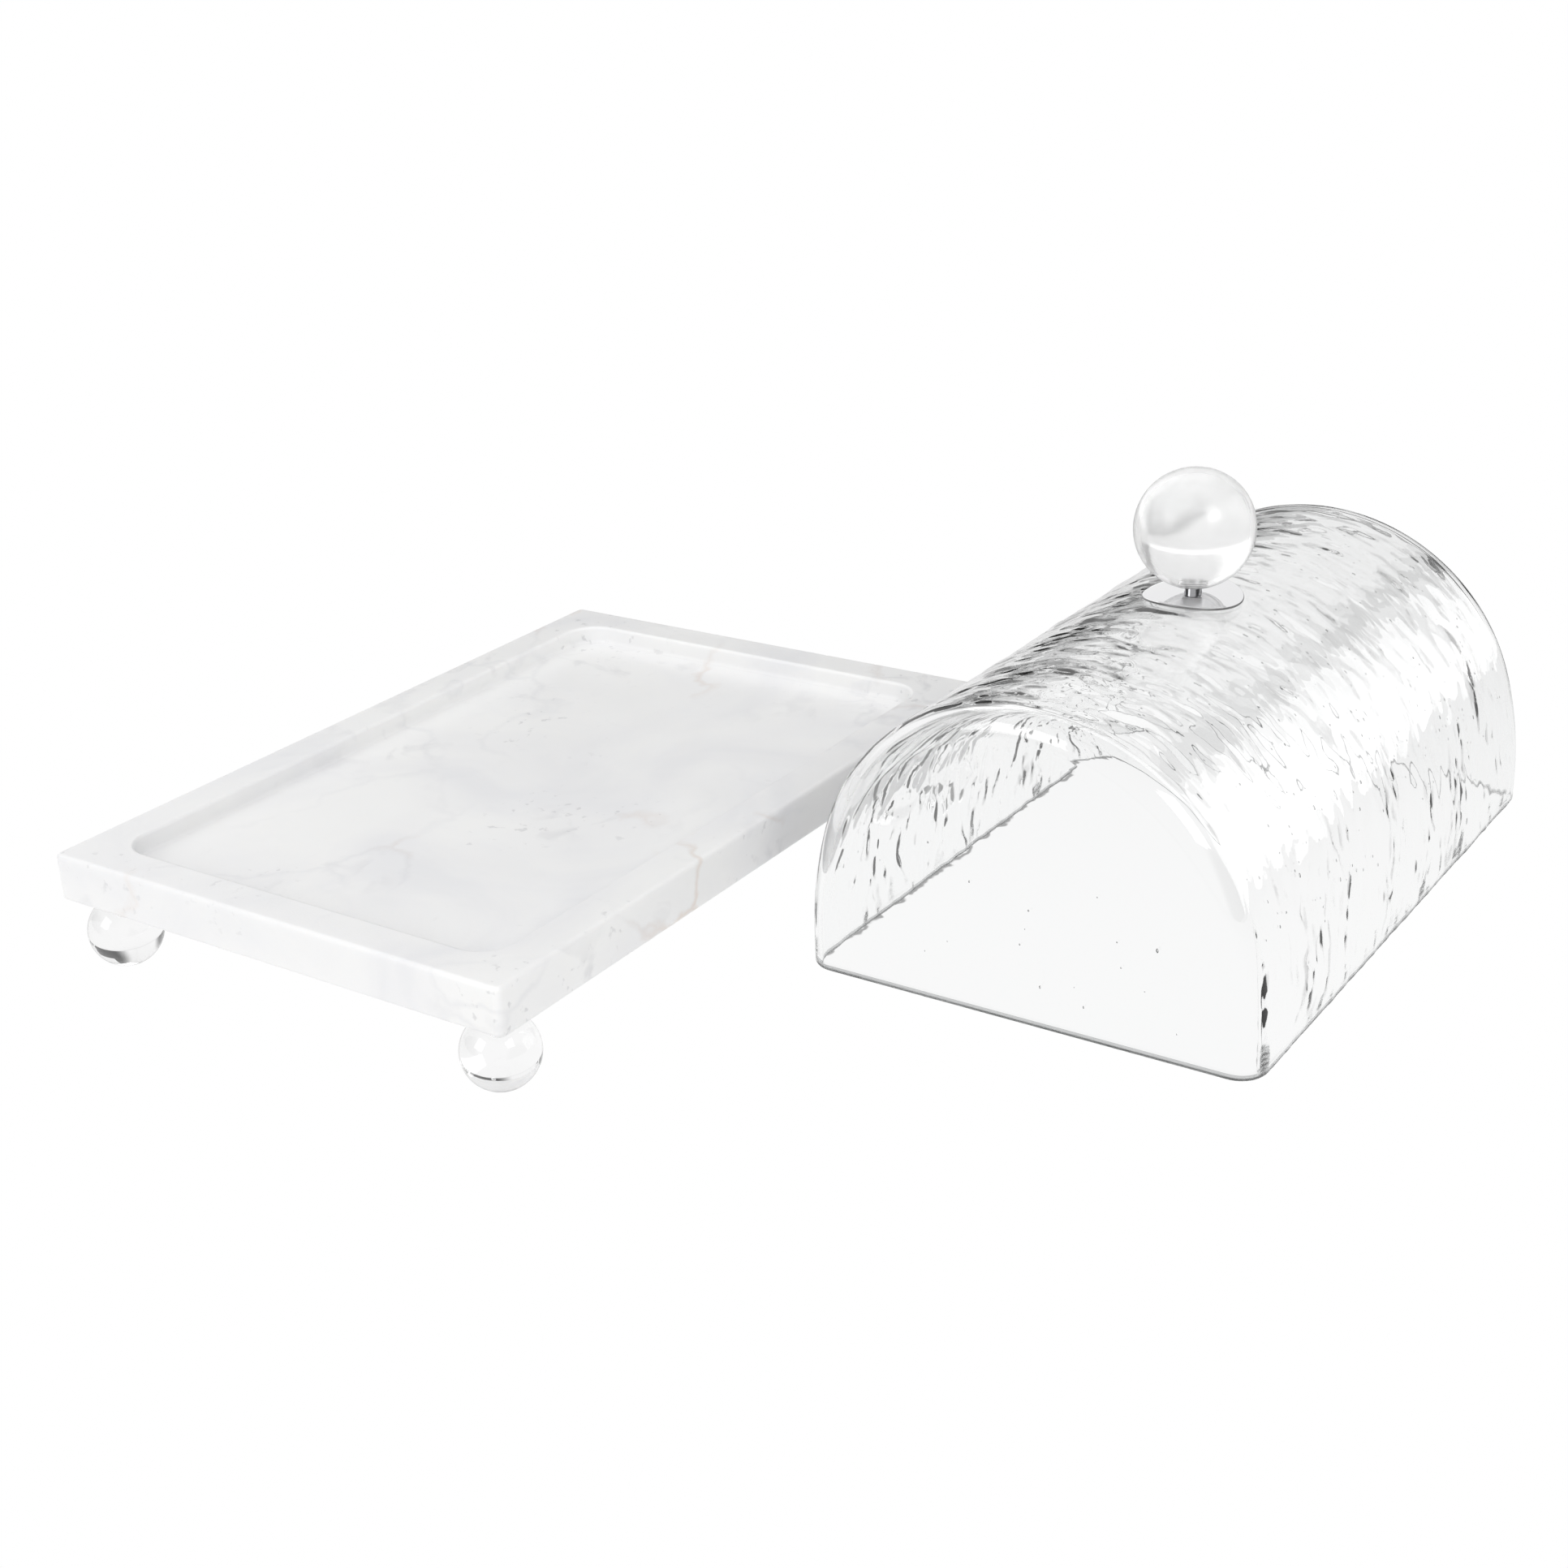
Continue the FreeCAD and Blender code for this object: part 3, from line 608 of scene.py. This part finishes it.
def make_fixing():
    """Gasket and saddle on the glass, and gasket and washer under it."""
    under = -WALL - GASKET
    bent_disc("saddle_gasket", "clear_saddle_gasket", 0, GASKET, CLEAR_SOFT)
    saddle = bent_disc("saddle_plate", "chrome_saddle", GASKET, GASKET + PLATE, CHROME)
    # the saddle's edge faces are painted dark, as shade of the gap under the plate
    add_second_material(saddle, SADDLE_EDGE_PAINTED_SHADE, on_saddle_edge)
    bent_disc("inner_gasket", "clear_inner_gasket", under, -WALL, CLEAR_SOFT)
    # the washer's darker chrome is painted shade
    bent_disc("inner_washer", "chrome_inner_washer", under - PLATE, under, DULL_CHROME_PAINTED_SHADE)
    return saddle


def threaded(radius, low, high, pitch, depth):
    """Outline of a thread's crests and roots, from its lower to its upper end."""
    turns = round((high - low) / pitch)
    points = []
    for i in range(turns):
        start = low + (high - low) * i / turns
        step = (high - low) / turns
        points.append((radius - depth, start + 0.1 * step))
        points.append((radius, start + 0.4 * step))
        points.append((radius, start + 0.6 * step))
        points.append((radius - depth, start + 0.9 * step))
    return points


def make_insert():
    low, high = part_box("knob_insert")
    radius = (high.x - low.x) / 2
    bore = radius - INSERT_WALL
    root = radius - THREAD_DEPTH
    outline = [(bore, low.z), (root, low.z)]
    outline += threaded(radius, low.z, high.z, INSERT_PITCH, THREAD_DEPTH)
    outline += [(root, high.z), (bore, high.z)]
    outline.append(outline[0])
    vertices, faces = lathe(outline, KNOB_AXIS, 96)
    insert = add_object("ribbed_insert", vertices, faces, PALE_METAL, "cover", ["knob_insert"])


def make_rods():
    """Threaded rods of the four feet, as one piece like the CAD node."""
    low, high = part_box("foot_studs")
    vertices, faces = [], []
    root = ROD_RADIUS - THREAD_DEPTH
    for corner in FOOT_CORNERS:
        outline = [(0.0, low.z), (root, low.z)]
        outline += threaded(ROD_RADIUS, low.z, high.z, ROD_PITCH, THREAD_DEPTH)
        outline += [(root, high.z), (0.0, high.z)]
        more, more_faces = lathe(outline, middle_of("foot_ball_" + corner), 48)
        first = len(vertices)
        vertices += more
        faces += [tuple(first + i for i in face) for face in more_faces]
    rods = add_object("threaded_rods", vertices, faces, STEEL, "tray", ["foot_studs"])


# ---------------------------------------------------------------- clear balls

def make_knob():
    low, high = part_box("knob_ball")
    radius = (high.x - low.x) / 2
    centre_height = high.z - radius
    insert_low, insert_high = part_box("knob_insert")
    hole = (insert_high.x - insert_low.x) / 2 - INSERT_BITE  # the insert's crests bite into the ball
    roof = insert_high.z + GAP
    flat = math.degrees(math.asin((low.z - centre_height) / radius))
    outline = [(0.0, roof), (hole, roof), (hole, low.z)]
    outline += arc(radius, centre_height, flat, 90, 90)
    vertices, faces = lathe(outline, KNOB_AXIS, 160)
    knob = add_object("ball_knob", vertices, faces, CLEAR_KNOB, "cover", ["knob_ball"])
    return knob


def make_feet():
    feet = []
    hole = ROD_RADIUS + GAP
    hole_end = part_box("foot_studs")[0].z - ROD_END_GAP
    for corner in FOOT_CORNERS:
        node = "foot_ball_" + corner
        low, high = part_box(node)
        radius = (high.x - low.x) / 2
        flat = math.degrees(math.asin((high.z - low.z - radius) / radius))
        outline = arc(radius, low.z + radius, -90, flat, 80)
        outline += [(hole, high.z), (hole, hole_end), (0.0, hole_end)]
        vertices, faces = lathe(outline, middle_of(node), 128)
        name = node.replace("foot_ball", "clear_foot")
        foot = add_object(name, vertices, faces, CLEAR_BALL, "tray", [node])
        feet.append(foot)
    return feet


# ---------------------------------------------------------------- studio

def contact_shade(add, place):
    """Socket that is dark on the strip of floor right under the cover's rim and 1 elsewhere."""
    def step(operation, *inputs):
        return add("ShaderNodeVectorMath", dict(enumerate(inputs)), operation=operation)

    core = (HALF_WIDTH - EDGE_RADIUS, HALF_LENGTH - EDGE_RADIUS, 1)
    offset = step("SUBTRACT", place, (KNOB_AXIS.x, KNOB_AXIS.y, 0)).outputs[0]
    offset = step("SUBTRACT", step("ABSOLUTE", offset).outputs[0], core).outputs[0]
    reach = step("LENGTH", step("MAXIMUM", offset, (0, 0, 0)).outputs[0]).outputs["Value"]
    from_rim = add("ShaderNodeMath", {0: reach, 1: EDGE_RADIUS - WALL / 2}, operation="SUBTRACT")
    uneven = add("ShaderNodeTexNoise", {"Vector": place, "Scale": 90, "Detail": 2})
    waver = add("ShaderNodeMapRange", {"Value": uneven.outputs[0], "To Min": -6 * MM, "To Max": 6 * MM})
    moved = add("ShaderNodeMath", {0: from_rim.outputs[0], 1: waver.outputs[0]}, operation="ADD")
    distance = add("ShaderNodeMath", {0: moved.outputs[0]}, operation="ABSOLUTE")
    shade = add("ShaderNodeMapRange", {"Value": distance.outputs[0], "From Min": 0.4 * MM,
                                       "From Max": 1.8 * MM, "To Min": 0.35},
                interpolation_type="SMOOTHSTEP")
    return shade.outputs[0]


def white_for_camera(add, brightness):
    """Socket that is 1 where the camera looks straight at a surface, and this brightness otherwise."""
    path = add("ShaderNodeLightPath").outputs["Is Camera Ray"]
    return add("ShaderNodeMix", {0: path, 2: brightness, 3: 1.0}, data_type="FLOAT").outputs[0]


def make_floor():
    """Pale floor: even white to the camera, and a pool of light that fades away for everything else."""
    bpy.ops.mesh.primitive_circle_add(vertices=64, radius=30, fill_type="NGON",
                                      location=(0, 0, -0.2 * MM))
    floor = bpy.context.object
    floor.name = "floor"
    material = bpy.data.materials.new("floor_white")
    material.use_nodes = True
    material.node_tree.nodes.clear()
    add = node_adder(material.node_tree)
    place = add("ShaderNodeTexCoord").outputs["Object"]
    shifted = add("ShaderNodeVectorMath", {0: place, 1: (-0.1, 0.35, 0)}, operation="ADD")
    distance = add("ShaderNodeVectorMath", {0: shifted.outputs[0]}, operation="LENGTH")
    pool = add("ShaderNodeMapRange", {"Value": distance.outputs["Value"], "From Min": 0.3,
                                      "From Max": 1.1, "To Min": POOL_LIGHT, "To Max": FAR_LIGHT},
               interpolation_type="SMOOTHSTEP")
    shaded = add("ShaderNodeMath", {0: pool.outputs[0], 1: contact_shade(add, place)},
                 operation="MULTIPLY")
    glow = add("ShaderNodeEmission", {"Strength": white_for_camera(add, shaded.outputs[0])})
    add("ShaderNodeOutputMaterial", {"Surface": glow.outputs[0]})
    floor.data.materials.append(material)


def direction(azimuth, elevation):
    """Unit vector; azimuth in degrees turns from +Y towards +X."""
    turn, rise = math.radians(azimuth), math.radians(elevation)
    return Vector((math.sin(turn) * math.cos(rise), math.cos(turn) * math.cos(rise), math.sin(rise)))


def make_world():
    """Studio: light all round but for a few dim parts; plain white where the camera sees it directly."""
    world = bpy.data.worlds.new("studio")
    bpy.context.scene.world = world
    world.use_nodes = True
    tree = world.node_tree
    background = next(n for n in tree.nodes if n.type == "BACKGROUND")
    add = node_adder(tree)
    place = add("ShaderNodeTexCoord").outputs["Generated"]
    brightness = SKY_LIGHT
    for azimuth, elevation, core, edge, low in DIM_PARTS:
        toward = add("ShaderNodeVectorMath", {0: place, 1: direction(azimuth, elevation)},
                     operation="DOT_PRODUCT")
        fade = add("ShaderNodeMapRange", {"Value": toward.outputs["Value"],
                                          "From Min": math.cos(math.radians(edge)),
                                          "From Max": math.cos(math.radians(core)),
                                          "To Min": 1.0, "To Max": low},
                   interpolation_type="SMOOTHSTEP")
        product = add("ShaderNodeMath", {0: brightness, 1: fade.outputs[0]}, operation="MULTIPLY")
        brightness = product.outputs[0]
    tree.links.new(white_for_camera(add, brightness), background.inputs["Strength"])
    background.inputs["Color"].default_value = (1, 1, 1, 1)


def add_softbox(name, azimuth, elevation, distance, width, height, brightness):
    """Soft rectangle of light that faces the object; azimuth turns from +Y towards +X."""
    toward = direction(azimuth, elevation)
    light = bpy.data.lights.new(name, "AREA")
    light.shape = "RECTANGLE"
    light.size = width
    light.size_y = height
    light.energy = brightness * math.pi * width * height
    lamp = bpy.data.objects.new(name, light)
    bpy.context.scene.collection.objects.link(lamp)
    lamp.location = toward * distance
    lamp.rotation_mode = "QUATERNION"
    lamp.rotation_quaternion = toward.to_track_quat("Z", "Y")
    lamp.visible_camera = False
    return lamp


def only_on(lamp, pieces):
    """Lets a lamp reach only these pieces."""
    group = bpy.data.collections.new(lamp.name + "_reaches")
    for piece in pieces:
        group.objects.link(piece)
    lamp.light_linking.receiver_collection = group


def add_camera():
    """Camera that looks down at the set from the photograph's side."""
    level = math.cos(CAMERA_PITCH)
    forward = Vector((math.sin(CAMERA_YAW) * level, math.cos(CAMERA_YAW) * level,
                      -math.sin(CAMERA_PITCH)))
    data = bpy.data.cameras.new("camera")
    data.sensor_width = 36
    data.lens = CAMERA_LENS
    data.clip_end = 100
    camera = bpy.data.objects.new("camera", data)
    bpy.context.scene.collection.objects.link(camera)
    camera.location = CAMERA_TARGET - forward * CAMERA_DISTANCE
    camera.rotation_mode = "QUATERNION"
    upright = forward.to_track_quat("-Z", "Y")
    camera.rotation_quaternion = upright @ Quaternion((0, 0, 1), CAMERA_ROLL)
    bpy.context.scene.camera = camera


def set_node_material(node, material):
    mesh = NODES[node].data
    if mesh.materials:
        for i in range(len(mesh.materials)):
            mesh.materials[i] = material
    else:
        mesh.materials.append(material)


cover = make_cover_glass()
knob = make_knob()
feet = make_feet()
saddle = make_fixing()
make_insert()
make_rods()
set_node_material("tray_slab", MARBLE)
set_node_material("foot_washers", CLEAR_SOFT)
set_node_material("hole_bush", CLEAR_SOFT)
# the collar's darker chrome is a painted dark reflection at the knob's neck
set_node_material("knob_collar", DULL_CHROME_PAINTED_SHADE)
set_node_material("knob_screw", STEEL)
set_node_material("foot_sleeves", BRASS)

make_floor()
make_world()
# softboxes: azimuth, elevation, distance, width, height, brightness
add_softbox("front_left", -155, 28, 2.0, 0.9, 0.9, 2.4)
add_softbox("front_right", 110, 40, 2.0, 0.8, 0.8, 3.5)
behind_glass = [add_softbox("back_left", -13, 27, 3.0, 2.4, 1.0, 0.8),
                add_softbox("back_right", 42, 8, 3.0, 2.6, 2.2, 1.25),
                add_softbox("back_top", -8, 54, 3.0, 5.0, 1.5, 1.4)]
for lamp in behind_glass:
    only_on(lamp, [cover] + feet)
behind_knob = add_softbox("behind_knob", -32, 14, 2.5, 5.0, 3.6, 0.85)
only_on(behind_knob, [knob, saddle])
add_camera()

scene = bpy.context.scene
scene.view_settings.view_transform = "Standard"
scene.cycles.max_bounces = 24
scene.cycles.transmission_bounces = 24
scene.cycles.glossy_bounces = 8
